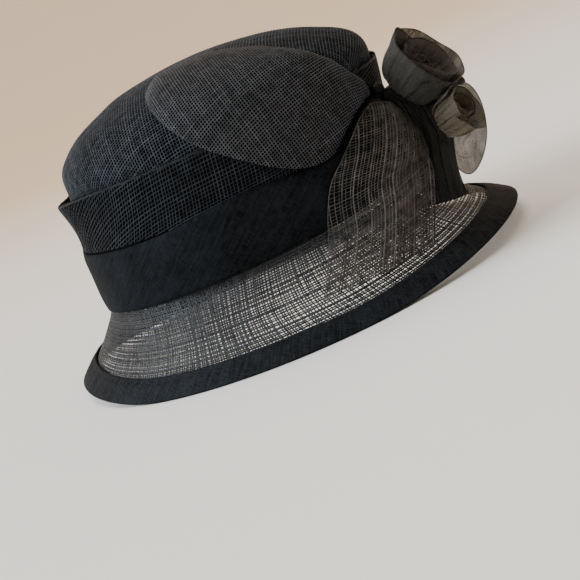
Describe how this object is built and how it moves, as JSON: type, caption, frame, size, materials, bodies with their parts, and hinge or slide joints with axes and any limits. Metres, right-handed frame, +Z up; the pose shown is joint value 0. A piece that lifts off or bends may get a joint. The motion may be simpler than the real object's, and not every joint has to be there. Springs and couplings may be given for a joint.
{
  "type": "cloche hat",
  "caption": "Cloche hat of woven straw cloth with a domed crown, pleated tier, silk band, flared bound brim, leaf loop, tail and organza roses.",
  "frame": {"origin": "centre of the rim's outline, on the surface that the hat rests on", "axes": "+X towards the front of the hat, +Y towards the wearer's left, +Z up through the crown"},
  "size_m": [0.2763, 0.2392, 0.1559],
  "materials": {
    "straw_cloth": "open woven straw cloth, near-black with grey glossy strands",
    "silk": "slubbed silk, near-black with a soft sheen",
    "organza": "sheer organza, smoky olive grey"
  },
  "bodies": {
    "root": {"crown": "straw_cloth", "crown_drape": "straw_cloth", "band": "silk", "brim": "straw_cloth", "brim_binding": "silk", "leaf_loop": "straw_cloth", "tail": "straw_cloth", "knot": "straw_cloth", "rose_base": "organza", "rose_upper": "organza", "rose_lower": "organza", "rose_petal": "organza", "organza_gather": "organza"}
  },
  "joints": []
}
